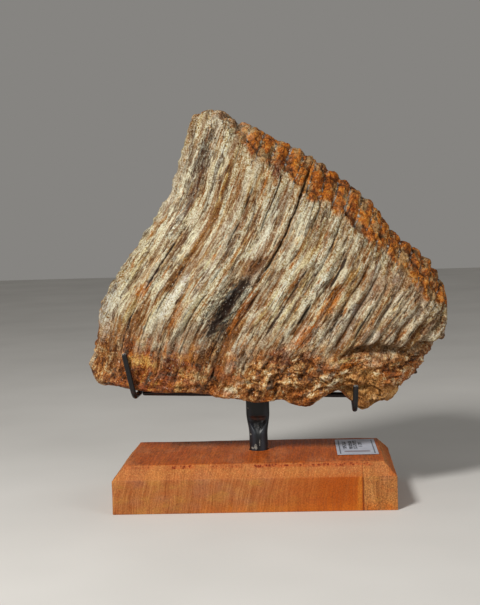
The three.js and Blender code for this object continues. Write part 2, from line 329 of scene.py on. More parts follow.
def sawn_faces(piece, cell, wobble, roughening):
    """Cuts the faces to cells, then gives them the saw's wobble and the chamfer its rough skin."""
    mesh = bmesh.new()
    mesh.from_mesh(piece.data)
    corners = np.array([v.co for v in mesh.verts])
    for axis in range(3):
        low, high = corners[:, axis].min(), corners[:, axis].max()
        across = Vector([1 if i == axis else 0 for i in range(3)])
        for place in np.arange(low + cell, high - cell / 2, cell):
            geometry = mesh.verts[:] + mesh.edges[:] + mesh.faces[:]
            bmesh.ops.bisect_plane(mesh, geom=geometry, dist=1e-6, plane_co=across * place, plane_no=across)
    mesh.normal_update()
    for vertex in mesh.verts:
        in_bore = math.hypot(vertex.co.x - POST_X, vertex.co.y - POST_Y) < BORE_RADIUS + MM
        if in_bore or vertex.co.z < 0.5 * MM:
            continue
        rough = roughening if CHAMFER_FOOT < vertex.co.z < BLOCK_HEIGHT - 0.3 * MM else 0
        shift = wobble * noise.noise(vertex.co / (14 * MM)) + rough * noise.noise(vertex.co / (2.6 * MM))
        outwards = vertex.normal.copy()
        if abs(vertex.co.x) < JOINT + MM:
            outwards.x = 0
        if outwards.length > 0.3:
            vertex.co += outwards.normalized() * (shift - (wobble + rough) * 0.8)
    mesh.to_mesh(piece.data)
    mesh.free()
    piece.data.shade_smooth()


def keep_edges_crisp(piece, degrees=32):
    piece.data.set_sharp_from_angle(angle=math.radians(degrees))


wide_stave = stave("wide_stave_wood", -BLOCK_LENGTH / 2, JOINT, CHAMFER_INSET, 0)
bored(wide_stave, POST_X, POST_Y, BLOCK_HEIGHT, BORE_DEPTH, BORE_RADIUS)
sawn_faces(wide_stave, 2.6 * MM, 0.25 * MM, 0.3 * MM)
keep_edges_crisp(wide_stave)
wide_stave.data.materials.append(oiled_wood(
    "wide stave wood", paint("a5683a"), paint("8a4c20"), paint("b98352"),
    lean=0.16, orange_from=58, dots=1.1, pore_depth=0.25 * MM))
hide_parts("wide_stave")
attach(wide_stave, "root")


# The narrow stave: an offcut of the same tree glued on at the right, paler and with its
# end grain in front, chamfered together with the wide one. A film of dried glue fills the joint.

def dried_glue(name):
    film = Finish(name)
    cloud = film.place.over(2, 2, 2).grain(3, 0.6)
    colour = cloud.shades((0.3, paint("5e2c10")), (0.7, paint("84481e")))
    return film.done(colour, cloud.rise(0.3, 0.7, 0.4, 0.6), cloud, 0.05 * MM)


narrow_stave = stave("narrow_stave_wood", JOINT + GLUE_LINE, BLOCK_LENGTH / 2, 0, CHAMFER_INSET)
sawn_faces(narrow_stave, 2.4 * MM, 0.3 * MM, 0.3 * MM)
keep_edges_crisp(narrow_stave)
narrow_stave.data.materials.append(oiled_wood(
    "narrow stave wood", paint("a9713f"), paint("8d5628"), paint("c08a55"),
    lean=0.02, orange_from=210, dots=2.4, pore_depth=0.3 * MM))
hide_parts("narrow_stave")
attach(narrow_stave, "root")

glue = stave("glue_line_film", JOINT + 0.02 * MM, JOINT + GLUE_LINE - 0.02 * MM, 0, 0)
sawn_faces(glue, 2.6 * MM, 0.25 * MM, 0.3 * MM)
for corner in glue.data.vertices:  # the film ends a little inside the wood
    corner.co.y *= 0.998
    corner.co.z *= 0.997
glue.data.materials.append(dried_glue("dried glue"))
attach(glue, "root")


# The post: steel tube whose upper end is pressed flat and dished in front with a blunt tool,
# which left a lip and a field of dimples. It is painted black and chipped at the foot.

POST_FOOT, POST_NECK, POST_TOP = 6.8 * MM, 45 * MM, 71.5 * MM
POST_WIDTH, POST_THICK, POST_DENT = 17.2 * MM, 6 * MM, 1.7 * MM
LIP_HEIGHT, DIMPLES_FROM, DIMPLES_TO, PANEL_POINT = 56.8 * MM, 49 * MM, 56 * MM, 45 * MM
BARE_AND_GLINT_SPOTS = [  # where paint is chipped off, and the last two are painted glints, in millimetres: across, up, half width, half height
    (-0.2, 36, 1.1, 2), (-2.4, 35.4, 0.9, 0.9), (2.8, 39.5, 0.45, 2.1), (-3.8, 45.4, 0.5, 0.6),
    (-5.4, 64.5, 0.5, 0.6),
]


def ease(value, low, high):
    share = np.clip((value - low) / (high - low), 0, 1)
    return share * share * (3 - 2 * share)


def post_ring(z, sides=96):
    """One level of the post, from above, and how deep its front is pressed in there."""
    flat = ease(z, POST_NECK, POST_NECK + 16 * MM)
    dish = POST_DENT * ease(z, PANEL_POINT - 2 * MM, LIP_HEIGHT - 3 * MM)
    panel = 0.16 + 0.5 * ease(z, PANEL_POINT, LIP_HEIGHT)
    angle = math.pi + 2 * math.pi * (np.arange(sides) + 0.5) / sides
    width = POST_FOOT + (POST_WIDTH / 2 - POST_FOOT) * flat
    depth = POST_FOOT + (POST_THICK / 2 - POST_FOOT) * flat
    rounding = 1 - ease(z, POST_TOP - 0.9 * MM, POST_TOP + 0.3 * MM) ** 2 * 0.16
    x, y = width * np.cos(angle) * rounding, depth * np.sin(angle) * rounding
    front = y < 0
    inside = 1 - ease(np.abs(np.cos(angle)), panel - 0.1, panel + 0.26)
    pressed = (dish + 0.35 * MM) * inside * front * (1 - 0.75 * ease(z, LIP_HEIGHT, LIP_HEIGHT + 2 * MM))
    lip = 0.5 * MM * np.exp(-((z - LIP_HEIGHT) / (0.9 * MM)) ** 2) * inside * front
    dimple = np.array([noise.noise(Vector((px / (1.5 * MM), z / (1.5 * MM), 3))) for px in x])
    dimpled = ease(z, DIMPLES_FROM, DIMPLES_FROM + 2 * MM) * (1 - ease(z, DIMPLES_TO - MM, DIMPLES_TO))
    y = y + pressed - lip + 0.45 * MM * dimple * dimpled * inside * front
    return np.stack([POST_X + x, POST_Y + y, np.full(sides, z)], 1)


def bands(levels, count):
    """Four-sided faces between rings of count points each, from the first ring to the last."""
    start = np.arange(levels - 1)[:, None] * count
    here = np.arange(count)
    after = (here + 1) % count
    corners = start + here, start + after, start + count + after, start + count + here
    return np.stack(corners, -1).reshape(-1, 4).tolist()


def surface(name, corners, faces):
    data = bpy.data.meshes.new(name)
    data.from_pydata(corners.tolist(), [], faces)
    return placed(name, data)


def skin(name, rings):
    """A closed skin over rings of equally many points, with a middle point at each end."""
    count = len(rings[0])
    corners = np.concatenate([*rings, [rings[0].mean(0)], [rings[-1].mean(0)]])
    first, last = len(corners) - 2, len(corners) - 1
    end = (len(rings) - 1) * count
    faces = bands(len(rings), count)
    faces += [(first, (i + 1) % count, i) for i in range(count)]
    faces += [(last, end + i, end + (i + 1) % count) for i in range(count)]
    piece = surface(name, corners, faces)
    piece.data.shade_smooth()
    return piece


def black_paint(name, rust, chips_below):
    """Thin satin black on steel: brushed, specked, with rust at one height, chips at the foot, painted
    highlights down its front and two painted glints.
    """
    steel = Finish(name)
    x, y, z = steel.place.parts()
    from_middle = (x - POST_X / MM).size()
    front, neck = y.rise(POST_Y / MM - 2, POST_Y / MM, 1, 0), POST_NECK / MM
    dust = steel.place.over(6, 6, 14).grain(3, 0.6)
    specks = steel.place.over(0.9, 0.9, 0.9, 4).grain(2, 0.6)
    colour = dust.shades((0.3, paint("0a0c0d")), (0.6, paint("15191b")), (0.8, paint("252b2f")))
    # Painted highlights: two lighter blue-grey bands down the front near its edges, weaker towards the top.
    from_corner = from_middle - z.rise(neck, neck + 12, 3.7, 6)
    rubbed = from_corner.bell(1.7) * front * z.rise(neck + 13, neck + 23, 1, 0.4)
    colour = colour.under(paint("2c3138"), rubbed * dust.rise(0.3, 0.6, 0.6, 1))
    rusted = (z - rust).bell(1.7) * steel.place.over(3, 3, 2, 7).grain(2).rise(0.3, 0.6)
    colour = colour.under(paint("46200f"), rusted * front * from_middle.rise(5, 6, 1, 0))
    bare_and_glints = specks.rise(0.72, 0.78) * z.rise(chips_below - 5, chips_below, 1, 0)
    for spot_x, spot_z, wide, tall in BARE_AND_GLINT_SPOTS:
        sideways, upwards = (x - spot_x) * (1 / wide), (z - spot_z) * (1 / tall)
        edge = sideways * sideways + upwards * upwards + (specks - 0.5) * 5
        bare_and_glints = bare_and_glints + edge.rise(0.3, 1.3, 1, 0) * front
    bare_and_glints = bare_and_glints.clipped()
    # Grey where the paint is chipped, and in two small spots higher up that are painted glints.
    colour = colour.under(paint("8c8b82"), bare_and_glints * 0.9)
    roughness = dust.rise(0.3, 0.7, 0.32, 0.5) + bare_and_glints * 0.2
    height = dust * 0.3 + specks * 0.4 - bare_and_glints * 0.5
    return steel.done(colour, roughness, height, 0.12 * MM, **{"Specular IOR Level": 0.35})


levels = np.concatenate([
    np.linspace(BLOCK_HEIGHT - 22 * MM, POST_NECK, 34)[:-1],
    np.linspace(POST_NECK, POST_TOP - MM, 62)[:-1],
    POST_TOP - MM * np.array([1, 0.8, 0.6, 0.4, 0.2, 0.08, 0]),
])
post = skin("post_steel", [post_ring(z) for z in levels])
post.data.materials.append(black_paint("post paint", rust=LIP_HEIGHT / MM + 0.2, chips_below=52))
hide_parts("post")
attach(post, "root")


# The cradle: a straight bar on the post's flat top and a bent rod across each of its ends, all of
# the same round wire, hooked up at front and back. Welded below, then painted black.

WIRE = 1.95 * MM  # the wire's radius
BEND = 7 * MM  # how far from a corner its bend starts
BAR = [(-83.2, 6, 77.4), (70, 6, 72.6)]
LEFT_PRONG = [(-91.6, -26, 111), (-85.2, -25, 79.2), (-85.5, 6, 77.6), (-86, 37, 79), (-90, 40, 108)]
RIGHT_PRONG = [(73.4, -30, 85), (72.3, -29.5, 66), (72.4, 6, 72), (73, 44, 69.5), (73, 46, 88)]


def bent(corners, step=0.8 * MM):
    """Points along a wire that is bent at each corner, a step apart."""
    corners = np.array(corners) * MM
    points = [corners[0]]
    for before, here, after in zip(corners, corners[1:], corners[2:]):
        start = here + BEND * (before - here) / np.linalg.norm(before - here)
        end = here + BEND * (after - here) / np.linalg.norm(after - here)
        points += [(1 - t) ** 2 * start + 2 * t * (1 - t) * here + t * t * end for t in np.linspace(0, 1, 13)]
    points = np.array([*points, corners[-1]])
    lengths = np.append(0, np.cumsum(np.linalg.norm(np.diff(points, axis=0), axis=1)))
    even = np.linspace(0, lengths[-1], int(lengths[-1] / step) + 1)
    return np.stack([np.interp(even, lengths, points[:, i]) for i in range(3)], 1)


def wire(name, corners, sides=20):
    """Round wire along its path, slightly uneven, its ends nipped off and rubbed round."""
    path = bent(corners)
    ahead = np.gradient(path, axis=0)
    ahead /= np.linalg.norm(ahead, axis=1)[:, None]
    side = np.cross(ahead[0], (1, 0, 0) if abs(ahead[0][0]) < 0.8 else (0, 1, 0))
    angles = 2 * math.pi * np.arange(sides) / sides
    rings = []
    for point, forward in zip(path, ahead):
        side -= forward * (side @ forward)
        side /= np.linalg.norm(side)
        up = np.cross(forward, side)
        uneven = 1 - 0.025 * (1 + noise.noise(Vector(point) / (5 * MM)))
        spokes = np.outer(np.cos(angles), side) + np.outer(np.sin(angles), up)
        rings.append(point + WIRE * uneven * spokes)
    for end, inward in ((0, 1), (-1, -1)):
        for back, share in ((0, 0.72), (1, 0.95)):
            ring = rings[end + inward * back]
            rings[end + inward * back] = ring.mean(0) + share * (ring - ring.mean(0))
    return skin(name, rings)


def wire_paint(name, tips):
    """Thin black paint with a brush's drag, rubbed to bright metal at the tips of the hooks."""
    steel = Finish(name)
    drag = steel.place.over(2, 2, 9).grain(3, 0.6)
    specks = steel.place.over(0.7, 0.7, 0.7, 4).grain(2, 0.6)
    colour = drag.shades((0.3, paint("060606")), (0.65, paint("0e0d0e")), (0.85, paint("1a181a")))
    warm = steel.place.over(7, 7, 5, 2).grain(2).rise(0.52, 0.7, 0, 0.55)
    colour = colour.under(paint("3a1c17"), warm)
    ragged = (specks - 0.5) * 3
    worn = sum((steel.place.distance(tip) + ragged).rise(1.2, 2.2, 0.7, 0) for tip in tips)
    colour = colour.under(paint("8d8a86"), worn.clipped())
    roughness = drag.rise(0.3, 0.7, 0.36, 0.52)
    height = drag * 0.5 + specks * 0.3
    return steel.done(colour, roughness, height, 0.1 * MM, **{"Specular IOR Level": 0.36})


wires = wire_paint("wire paint", [LEFT_PRONG[0], RIGHT_PRONG[0], LEFT_PRONG[-1], RIGHT_PRONG[-1]])
for node_name, corners in (("cradle_bar", BAR), ("left_prong", LEFT_PRONG), ("right_prong", RIGHT_PRONG)):
    rod = wire(node_name + "_wire", corners)
    rod.data.materials.append(wires)
    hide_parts(node_name)
    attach(rod, "root")


# The molar: enamel plates stacked from left to right and bound with cement, all turned to stone.
# A place on it is given by across, 0 at its left edge and 1 at its right, and up, 0 at the
# roots and 1 at the crest. The form comes first, and the plates are then grown over it.

MIDDLE = 6 * MM  # the tooth's middle plane
HALF_THICKNESS = 42 * MM
HEEL = 0.02
HIND_EDGE = [(-123, 100), (-116, 116), (-112, 138), (-99, 165), (-64, 212), (-51, 243), (-38, 280)]
FORE_EDGE = [(94.5, 70.5), (117, 88), (128, 104), (139, 117), (142.5, 131)]
CREST = [
    (-38, 280), (-27, 284), (-15, 282), (-6, 275), (4, 270), (22, 259.5), (41, 249.5),
    (58, 238), (87, 215), (103, 192), (121, 178), (134, 161), (141, 146), (142.5, 131),
]
ROOTS = [
    (-123, 100), (-115, 86), (-100, 83), (-75, 78.5), (-40, 77.6), (-27, 74.2), (-13, 72.8), (4, 69.8),
    (19, 72.4), (28, 69), (39, 67), (50, 74.5), (61, 78), (69, 70), (77, 63), (94.5, 70.5),
]
FRONT_RIM = [(0, 0.965), (0.15, 0.947), (0.38, 0.867), (0.55, 0.812), (0.76, 0.768), (0.9, 0.8), (1, 0.9)]
BACK_RIM = [(0, 0.965), (0.2, 0.955), (0.8, 0.93), (1, 0.92)]
FURROW = [(0, 0), (0.28, 0), (0.42, 0.06), (0.6, 0.07), (0.74, 0.09), (0.86, 0.09), (1, 0)]
FURROW_REACH = 7 * MM
ROOT_LINE = [
    (0, 0.2), (0.13, 0.215), (0.28, 0.2), (0.42, 0.205), (0.6, 0.315),
    (0.744, 0.358), (0.836, 0.395), (0.9, 0.5), (0.93, 0.6), (1, 0.72),
]
BITE_LINE = [  # where the wall in front turns into the worn, rusty chewing surface
    (0, 0.985), (0.11, 0.97), (0.15, 0.965), (0.212, 0.92), (0.25, 0.908), (0.296, 0.918), (0.34, 0.893),
    (0.4, 0.857), (0.464, 0.88), (0.54, 0.872), (0.6, 0.856), (0.67, 0.89), (0.705, 0.895), (0.75, 0.85),
    (0.8, 0.824), (0.85, 0.816), (0.907, 0.877), (0.933, 0.94), (1, 0.98),
]
WIDTH, HEIGHT = 230, 215  # the tooth's girth across its plates and along them, in millimetres
COLUMNS, FRONT_ROWS, BACK_ROWS = 262, 158, 84
FRONT_CHEWING, BACK_CHEWING, UNDERSIDE_ROWS = 52, 28, 18


def spline(points):
    """A smooth line through points, read at shares of its length."""
    points = np.array(points, float) * MM
    place = np.linspace(0, len(points) - 1, 3000)
    left = np.minimum(place.astype(int), len(points) - 2)
    t = (place - left)[:, None]
    p0, p1 = points[np.maximum(left - 1, 0)], points[left]
    p2, p3 = points[left + 1], points[np.minimum(left + 2, len(points) - 1)]
    v0, v1 = (p2 - p0) / 2, (p3 - p1) / 2
    line = (2 * p1 - 2 * p2 + v0 + v1) * t ** 3 + (3 * p2 - 3 * p1 - 2 * v0 - v1) * t ** 2 + v0 * t + p1
    lengths = np.append(0, np.cumsum(np.linalg.norm(np.diff(line, axis=0), axis=1)))
    lengths /= lengths[-1]
    return lambda share: np.stack([np.interp(share, lengths, line[:, axis]) for axis in (0, 1)], -1)


hind, fore, crest, roots = spline(HIND_EDGE), spline(FORE_EDGE), spline(CREST), spline(ROOTS)


def middle_plane(across, up):
    """Where a place lies in the tooth's middle plane, as X and Z."""
    s, t = across[..., None], up[..., None]
    corners = (1 - t) * ((1 - s) * hind(0) + s * fore(0)) + t * ((1 - s) * hind(1) + s * fore(1))
    return (1 - t) * roots(across) + t * crest(across) + (1 - s) * hind(up) + s * fore(up) - corners


def along(points, place):
    """Reads a value off a line of (place, value) points, smoothly."""
    places, values = np.array(points).T
    after = np.clip(np.searchsorted(places, place), 1, len(places) - 1)
    share = ease(place, places[after - 1], places[after])
    return values[after - 1] + (values[after] - values[after - 1]) * share


def thickness(across, up):
    ends = np.sqrt(1 - np.abs(2 * across - 1) ** 2.8)
    low, high = np.maximum(0, 1 - up / 0.35), np.maximum(0, (up - 0.35) / 0.65)
    return HALF_THICKNESS * ends * (1 - 0.34 * low ** 2.4 - 0.1 * high ** 2)


def half_ring(across, side):
    """Half of every ring round the tooth: underside, wall and chewing surface, as up and out."""
    ends = thickness(across, 0.35 + 0 * across) / HALF_THICKNESS
    foot = thickness(across, 0 * across)
    rim = along(FRONT_RIM if side < 0 else BACK_RIM, across)
    bite = along(BITE_LINE if side < 0 else BACK_RIM, across)
    rows = []
    for i in range(UNDERSIDE_ROWS):
        share = ((i + 0.5) / UNDERSIDE_ROWS) ** 1.3
        furrow = along(FURROW, across) * np.exp(-((share * foot / FURROW_REACH) ** 4)) * ends
        rows.append((HEEL * share ** 2 + furrow, side * share * foot, bite))
    count = FRONT_ROWS if side < 0 else BACK_ROWS
    for i in range(count + 1):
        up = HEEL + (rim - HEEL) * i / count
        rows.append((up, side * thickness(across, up), bite))
    brink, crest_line = thickness(across, rim), 0.22 * thickness(across, 1 + 0 * across)
    count = FRONT_CHEWING if side < 0 else BACK_CHEWING
    for i in range(1, count + 1):
        out = brink * (1 - (i - 0.25) / count)
        share = np.clip((brink - out) / (brink - crest_line), 0, 1)
        rows.append((rim + (1 - rim) * (1 - (1 - share) ** 1.5), side * out, bite))
    up, out, bite = (np.stack(column, 1) for column in zip(*rows))
    return up, out, bite


# Rings stand at these shares of the way across, close together where both ends round off.
shares = np.array([0.0002, 0.0009, 0.0021, *(np.arange(1, COLUMNS) / COLUMNS), 0.9979, 0.9991, 0.9998])
back, front = half_ring(shares, 1), half_ring(shares, -1)
up, out, bite = (np.concatenate([b, f[:, ::-1]], 1) for b, f in zip(back, front))
across = np.repeat(shares[:, None], up.shape[1], 1)
flat = middle_plane(across, np.clip(up, 0, 1))
form = np.stack([flat[..., 0], MIDDLE + out, flat[..., 1]], -1)


def closed_loft(name, rings, climb, half):
    """A skin over closed rings, each end shut by lacing the ring's halves together as they climb."""
    count = rings.shape[1]
    faces = bands(len(rings), count)
    for ring in (0, len(rings) - 1):
        behind, ahead = 0, count - 1
        while behind < half - 1 or ahead > half:
            if ahead == half or (behind < half - 1 and climb[ring, behind + 1] <= climb[ring, ahead - 1]):
                face = (behind + 1, behind, ahead)
                behind += 1
            else:
                face = (behind, ahead, ahead - 1)
                ahead -= 1
            faces.append([ring * count + corner for corner in (face if ring == 0 else face[::-1])])
    return surface(name, rings.reshape(-1, 3), faces)


def tell(piece, name, values):
    """Gives the mesh a value at every corner, for its node trees to read."""
    attribute = piece.data.attributes.new(name, "FLOAT", "POINT")
    attribute.data.foreach_set("value", values.ravel().astype(np.float32))


molar = closed_loft("molar_tooth", form, up, back[0].shape[1])
tell(molar, "across", across)
tell(molar, "up", up)
tell(molar, "above_roots", up - along(ROOT_LINE, across))
tell(molar, "below_bite", bite - up)
underneath = 0.25 + 0.75 * ease(up, HEEL, 2.5 * HEEL)
inside_box = np.minimum(form - np.array(cad_box[0]), np.array(cad_box[1]) - form)
tell(molar, "outward", underneath * ease(inside_box.min(2), 0.2 * MM, 6 * MM))
tell(molar, "inward", underneath * ease(thickness(across, up), -6 * MM, 16 * MM))

# Clefts between plates: place across, lowest and highest reach, depth and half width in millimetres.
CLEFTS = [
    (0.383, 0.5, 0.99, 3.4, 0.85), (0.35, 0.25, 0.5, 2.6, 3.4), (0.111, 0.14, 0.62, 2.0, 1.3),
    (0.402, 0.3, 0.46, 1.8, 0.8), (0.552, 0.36, 0.5, 2.8, 1.1), (0.572, 0.6, 0.74, 2.2, 1.2),
    (0.247, 0.58, 0.86, 2.4, 0.75), (0.314, 0.68, 0.89, 1.8, 0.7), (0.446, 0.74, 0.9, 2.0, 0.7),
    (0.652, 0.42, 0.54, 2.2, 1.2), (0.885, 0.57, 0.66, 2.8, 1.0), (0.49, 0.32, 0.62, 1.8, 0.9),
    (0.27, 0.28, 0.5, 1.4, 0.7), (0.175, 0.3, 0.5, 1.4, 0.7), (0.72, 0.45, 0.62, 1.6, 0.9),
    (0.393, 0.0, 0.14, 2.4, 1.0), (0.161, 0.14, 0.3, 1.8, 0.7), (0.288, 0.17, 0.3, 1.6, 0.6),
    (0.376, 0.14, 0.3, 2.0, 0.7), (0.225, 0.12, 0.26, 1.4, 0.5), (0.838, 0.12, 0.28, 2.2, 0.7),
]
PLATE_SIZES = {
    "Plates": 24, "Plate height": 2.9, "Plate spread": 1.6, "Seam depth": 1.7, "Fibre depth": 1.1,
    "Flake step": 0.75, "Gouge depth": 0.9, "Root lumps": 3.2, "Fold depth": 1.7,
    "Knob height": 2.8, "Seed": 5,
}


def cleft_marks(grain, up, facing):
    """How far each cleft has opened at a place: rows of (0 to 1, depth, how dark it looks)."""
    run = grain.parts()[0]
    frayed = (grain.over(3, 6, 11, 13).grain(2, 0.6) - 0.5) * 3.2
    torn = grain.over(4, 6, 16, 17).grain(2, 0.6).rise(0.36, 0.5, 0.25, 1)
    marks = []
    for at, low, high, depth, width in CLEFTS:
        reach = up.rise(low - 0.05, low + 0.03) * up.rise(high - 0.03, high + 0.04, 1, 0)
        apart = run - at * WIDTH + frayed * min(1, width / 1.4)
        marks.append((apart.bell(width) * reach * torn * facing, depth, min(0.95, 0.3 + 0.6 * width)))
    return marks


def hairlines(grain):
    """Thin lines that wander along the plates and break off, from 0 to 1."""
    wide = (grain.over(8, 9, 110, 70).grain(2, 0.5) - 0.5).bell(0.022)
    close = (grain.over(4.5, 6, 60, 80).grain(2, 0.5) - 0.5).bell(0.032)
    unbroken = grain.over(6, 8, 22, 75).grain(2, 0.6).rise(0.46, 0.55)
    return (wide + close * 0.8) * unbroken


def calm_corner(across, up):
    """1 low at the right, where the root is smooth, and 0 elsewhere."""
    return across.rise(0.78, 0.86) * up.rise(0.3, 0.2)


def grow_plates(material):
    """The tree that turns the smooth form into plates, fibres, clefts, knobs and pitted roots."""
    tree = bpy.data.node_groups.new("Molar plates", "GeometryNodeTree")
    tree.interface.new_socket("Geometry", in_out="INPUT", socket_type="NodeSocketGeometry")
    for name, value in PLATE_SIZES.items():
        tree.interface.new_socket(name, in_out="INPUT", socket_type="NodeSocketFloat").default_value = value
    tree.interface.new_socket("Geometry", in_out="OUTPUT", socket_type="NodeSocketGeometry")
    entry = tree.nodes.new("NodeGroupInput")
    size = {socket.name: Amount(tree, socket) for socket in entry.outputs}

    def told(name):
        return node(tree, "GeometryNodeInputNamedAttribute", {0: name}, data_type="FLOAT")

    across, up, above_roots = told("across"), told("up"), told("above_roots")
    place = node(tree, "GeometryNodeInputPosition", {}).scaled(1000, 1000, 1000)
    y = place.parts()[1]
    facing = (y - MIDDLE / MM).rise(-4, 4, -1, 1)  # -1 in front, 1 behind
    sway = (place.over(60, 60, 60).grain(1) - 0.5) * 4
    sway = sway + (place.over(14, 14, 22).grain(1) - 0.5) * 1.3
    run, climb = across * WIDTH + sway, up * HEIGHT
    end_face = (across - 0.5).size().rise(0.43, 0.5)
    grain = vector(run, y * (end_face * 0.55 + 0.35), climb)
    phase = run * size["Plates"] * (1 / WIDTH) + 0.5
    number = phase.maths("FLOOR")
    chance = node(tree, "ShaderNodeTexWhiteNoise", {0: vector(number, facing.maths("SIGN"), size["Seed"])})

    # Each plate stands out between two seams, most of all low at the right.
    wave = (phase * math.pi).maths("SINE").size() ** 0.8
    ribbed = across.rise(0.42, 0.72, 0.26, 1) * above_roots.rise(-0.03, 0.05)
    ribbed = ribbed * told("below_bite").rise(0, 0.2, 0.35, 1)
    ribbed = ribbed + across.rise(0.35, 0.48, 0.45, 0) * up.rise(0.06, 0.12) * up.rise(0.24, 0.36, 1, 0)
    ridge = (size["Plate height"] + size["Plate spread"] * (chance * 2 - 1)) * ribbed * (wave - 0.55)
    seam_gap = (0.5 - (phase.maths("FRACT") - 0.5).size()) * (WIDTH / PLATE_SIZES["Plates"])
    opened = vector(number * 3.7, facing, climb * (1 / 60)).grain(2, 0.6).rise(0.46, 0.66)
    seam = seam_gap.bell(0.6) * opened
    fibres = grain.over(5.5, 9, 70, 3).grain(4, 0.6) - 0.5
    threads = grain.over(1.9, 5, 14, 9).grain(2, 0.65) - 0.5
    flakes = grain.over(8, 9, 38, 40).grain(3, 0.6)
    steps = flakes.rise(0.44, 0.455) + flakes.rise(0.53, 0.545) + flakes.rise(0.61, 0.62) - 1.3
    gouges = grain.over(3.6, 6, 13, 5).cells().rise(0.1, 0.34, 1, 0)
    gouges = gouges * grain.over(12, 12, 30, 6).grain(1).rise(0.44, 0.54)
    crumble = place.over(2.2, 2.2, 2.2).grain(2, 0.65) - 0.5
    wall = ridge - size["Seam depth"] * seam + size["Fibre depth"] * (fibres * 1.6 + threads * 1.5)
    wall = wall + size["Flake step"] * steps - size["Gouge depth"] * gouges + crumble * 1.5
    scallops = (place.over(10, 10, 11, 33).grain(2) - 0.5) * 9 * end_face
    wall = wall - hairlines(grain) * 0.8 + scallops

    # Clefts, and the sunken line above the root at the right.
    marks = cleft_marks(grain, up, facing.rise(-0.5, 0.5, 1, 0.4))
    cleft = sum(opening * depth for opening, depth, _ in marks)
    sunk = (above_roots + (place.over(14, 14, 14, 6).grain(3, 0.6) - 0.5) * 0.12 + 0.012).bell(0.04)
    sunk = sunk * across.rise(0.64, 0.76)

    # The pitted roots reach up between the plates in tongues, and the plates run down into them.
    tongues = (grain.over(6, 9, 26, 2).grain(3, 0.6) - 0.5) * 0.34
    tongues = above_roots + tongues + (place.over(9, 9, 9, 2).grain(2) - 0.5) * 0.16
    low_down = (tongues + across.rise(0.45, 0.62, 0.07, 0)).rise(-0.12, 0.04, 1, 0)
    calm = calm_corner(across, up)
    smooth = across.rise(0.56, 0.7, 0, 0.75) + calm * 0.15
    lumps = (place.over(17, 17, 9, 1).grain(1.5) - 0.5) * (smooth * 2 + 3)
    lumps = lumps + (place.over(5, 5, 3.4, 51).grain(2, 0.6) - 0.5) * (1 - smooth) * 1.1
    pits = place.over(6, 6, 4.5, 4).cells().rise(0.08, 0.4, 1, 0)
    pits = pits * place.over(15, 15, 15, 5).grain(1).rise(0.42, 0.55)
    runnels = grain.over(3.6, 5, 13, 7).cells().rise(0.05, 0.5, 1, 0)
    runnels = runnels * climb.rise(10, 22) * grain.over(10, 10, 14, 8).grain(1).rise(0.4, 0.6)
    folds = (place.over(13, 13, 12, 9).grain(3, 0.6, 0.8) - 0.5).size().rise(0, 0.05, 1, 0)
    ledges = (place.over(40, 40, 9, 19).grain(2, 0.6, 0.6) - 0.5).size().rise(0, 0.05, 1, 0) * smooth
    shelf = above_roots + 0.075 + (place.over(9, 9, 9, 6).grain(2) - 0.5) * 0.06
    ledges = ledges + shelf.bell(0.014) * across.rise(0.79, 0.85)
    rough = pits * 2.6 + runnels * 2.2 - crumble * 1.3 - threads * 1.6 - steps * 0.8
    rooty = lumps * size["Root lumps"] - folds * size["Fold depth"] - ledges * 2 - rough * (1 - smooth)
    rooty = rooty + fibres * 2.2 + scallops * 0.7

    # The worn tops of the plates: knobs in rows between thin standing edges of enamel.
    ragged = told("below_bite") * HEIGHT + (place.over(8, 8, 8, 8).grain(3, 0.6) - 0.5) * 22
    chewing = ragged.rise(-2, 3, 1, 0)
    bent_place = place.over(6, 6, 6, 9).grain(2) - 0.5
    over = climb - (y - MIDDLE / MM).size()
    in_row = over * (1 / 10.5) + number * 0.47 + bent_place * 1.3
    knob = 1 - (vector(phase + bent_place * 0.6 + 0.5, in_row, 0).cells(randomness=0.75) * 1.4) ** 2
    standing = place.over(5, 5, 5, 18).grain(2, 0.6).rise(0.4, 0.52)
    enamel = (seam_gap + bent_place * 2.4).bell(0.6) * standing
    worn = size["Knob height"] * (knob - 0.5) + (wave - 0.6) * 2.4 + crumble * 2.2 + enamel * 0.7

    # The three reliefs blend into one, which pushes the skin in and out along its own direction.
    shape = wall * (1 - low_down) + rooty * low_down
    shape = shape * (1 - chewing) + worn * chewing - cleft * (1 - low_down * 0.6) - sunk * 7
    shape = shape.maths("MAXIMUM", 0) * told("outward") + shape.maths("MINIMUM", 0) * told("inward")
    normal = node(tree, "GeometryNodeInputNormal", {})
    shift = node(tree, "ShaderNodeVectorMath", {0: normal, 3: shape * MM}, operation="SCALE")
    moved = tree.nodes.new("GeometryNodeSetPosition")
    tree.links.new(entry.outputs["Geometry"], moved.inputs["Geometry"])
    tree.links.new(shift.socket, moved.inputs["Offset"])

